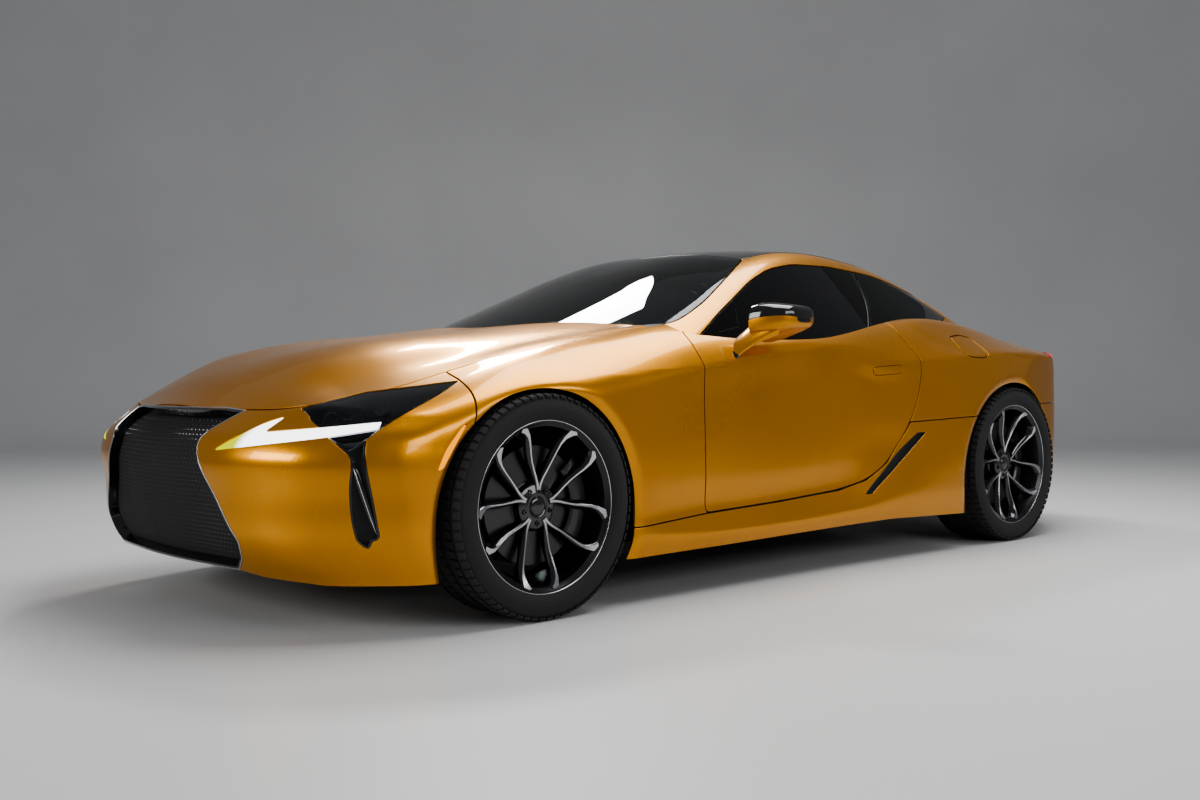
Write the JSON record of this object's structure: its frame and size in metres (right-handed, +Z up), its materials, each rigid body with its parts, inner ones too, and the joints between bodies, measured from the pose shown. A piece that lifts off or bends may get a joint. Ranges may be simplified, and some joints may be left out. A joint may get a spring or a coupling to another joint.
{
  "type": "coupe car",
  "caption": "Low two-door coupe car with a hollow panelled body, opening doors and lids, a full cabin, and wheels that steer and roll.",
  "frame": {"origin": "on the ground under the middle of the car", "axes": "+X forward, +Y to the car's left, +Z up"},
  "size_m": [4.7524, 2.076, 1.345],
  "materials": {
    "body_paint": "golden yellow pearl paint under clear lacquer",
    "black_gloss": "gloss black",
    "black_plastic": "fine grained",
    "tinted_glass": "dark tinted",
    "lamp_lens": "clear over black",
    "red_lens": "clear red",
    "tyre_rubber": "matt sidewall",
    "wheel_metal": "gloss black with machined edges",
    "chassis_steel": "satin black",
    "cast_metal": "as cast",
    "engine_metal": "as cast",
    "steel": "satin",
    "leather": "stitched"
  },
  "bodies": {
    "shell": {"centre_console": "black_plastic", "cowl": "black_plastic", "dashboard": "black_plastic", "diffuser": "black_plastic", "engine": "engine_metal", "exhaust": "steel", "front_bumper": "body_paint", "front_seat_left": "leather", "front_seat_right": "leather", "front_subframe": "chassis_steel", "front_wheelhouses": "black_plastic", "front_wing_left": "body_paint", "front_wing_right": "body_paint", "grille": "black_plastic", "headlamp_left": "lamp_lens", "headlamp_right": "lamp_lens", "knuckle_rear_left": "cast_metal", "knuckle_rear_right": "cast_metal", "quarter_glass_left": "tinted_glass", "quarter_glass_right": "tinted_glass", "rear_bumper": "body_paint", "rear_cowl": "body_paint", "rear_glass": "tinted_glass", "rear_seats": "leather", "rear_shelf": "black_plastic", "rear_subframe": "chassis_steel", "rear_wheelhouses": "black_plastic", "rear_wing_left": "body_paint", "rear_wing_right": "body_paint", "roof": "black_gloss", "side_frame_left": "body_paint", "side_frame_right": "body_paint", "sill_left": "body_paint", "sill_right": "body_paint", "tail_lamp_left": "red_lens", "tail_lamp_right": "red_lens", "underbody": "chassis_steel", "windscreen": "tinted_glass"},
    "door_left": {"door_left": "body_paint", "door_glass_left": "tinted_glass", "mirror_left": "body_paint"},
    "door_right": {"door_right": "body_paint", "door_glass_right": "tinted_glass", "mirror_right": "body_paint"},
    "bonnet": {"bonnet": "body_paint"},
    "boot_lid": {"boot_lid": "body_paint"},
    "fuel_lid": {"fuel_lid": "body_paint"},
    "steering_wheel": {"steering_wheel": "leather"},
    "steered_left": {"knuckle_front_left": "cast_metal"},
    "steered_right": {"knuckle_front_right": "cast_metal"},
    "wheel_front_left": {"tyre_front_left": "tyre_rubber", "rim_front_left": "wheel_metal"},
    "wheel_front_right": {"tyre_front_right": "tyre_rubber", "rim_front_right": "wheel_metal"},
    "wheel_rear_left": {"tyre_rear_left": "tyre_rubber", "rim_rear_left": "wheel_metal"},
    "wheel_rear_right": {"tyre_rear_right": "tyre_rubber", "rim_rear_right": "wheel_metal"}
  },
  "joints": [
    {"name": "door_left_hinge", "type": "hinge", "parent": "shell", "child": "door_left", "pos_m": [0.644, 0.891, 0.585], "axis": [0, 0, -1], "range_deg": [0, 65]},
    {"name": "door_right_hinge", "type": "hinge", "parent": "shell", "child": "door_right", "pos_m": [0.644, -0.891, 0.585], "axis": [0, 0, 1], "range_deg": [0, 65]},
    {"name": "bonnet_hinge", "type": "hinge", "parent": "shell", "child": "bonnet", "pos_m": [0.762, 0, 0.935], "axis": [0, -1, 0], "range_deg": [0, 45]},
    {"name": "boot_hinge", "type": "hinge", "parent": "shell", "child": "boot_lid", "pos_m": [-1.48, 0, 0.945], "axis": [0, 1, 0], "range_deg": [0, 65]},
    {"name": "fuel_lid_hinge", "type": "hinge", "parent": "shell", "child": "fuel_lid", "pos_m": [-0.997, 0.9014, 0.9138], "axis": [0, 0.6, -0.8], "range_deg": [0, 80]},
    {"name": "steer_left", "type": "hinge", "parent": "shell", "child": "steered_left", "pos_m": [1.46, 0.815, 0.365], "axis": [0, 0, 1], "range_deg": [-34, 34]},
    {"name": "steer_right", "type": "hinge", "parent": "shell", "child": "steered_right", "pos_m": [1.46, -0.815, 0.365], "axis": [0, 0, 1], "range_deg": [-34, 34]},
    {"name": "steering_wheel_turn", "type": "hinge", "parent": "shell", "child": "steering_wheel", "pos_m": [0.25, 0.37, 0.8], "axis": [-0.9135, 0, 0.4067], "range_deg": [-442, 442]},
    {"name": "spin_front_left", "type": "hinge", "parent": "steered_left", "child": "wheel_front_left", "pos_m": [1.46, 0.815, 0.365], "axis": [0, 1, 0], "continuous": true},
    {"name": "spin_front_right", "type": "hinge", "parent": "steered_right", "child": "wheel_front_right", "pos_m": [1.46, -0.815, 0.365], "axis": [0, 1, 0], "continuous": true},
    {"name": "spin_rear_left", "type": "hinge", "parent": "shell", "child": "wheel_rear_left", "pos_m": [-1.41, 0.8175, 0.363], "axis": [0, 1, 0], "continuous": true},
    {"name": "spin_rear_right", "type": "hinge", "parent": "shell", "child": "wheel_rear_right", "pos_m": [-1.41, -0.8175, 0.363], "axis": [0, 1, 0], "continuous": true}
  ],
  "couplings": [
    {"joint": "steer_right", "follows": "steer_left", "ratio": 1},
    {"joint": "steering_wheel_turn", "follows": "steer_left", "ratio": 13}
  ]
}
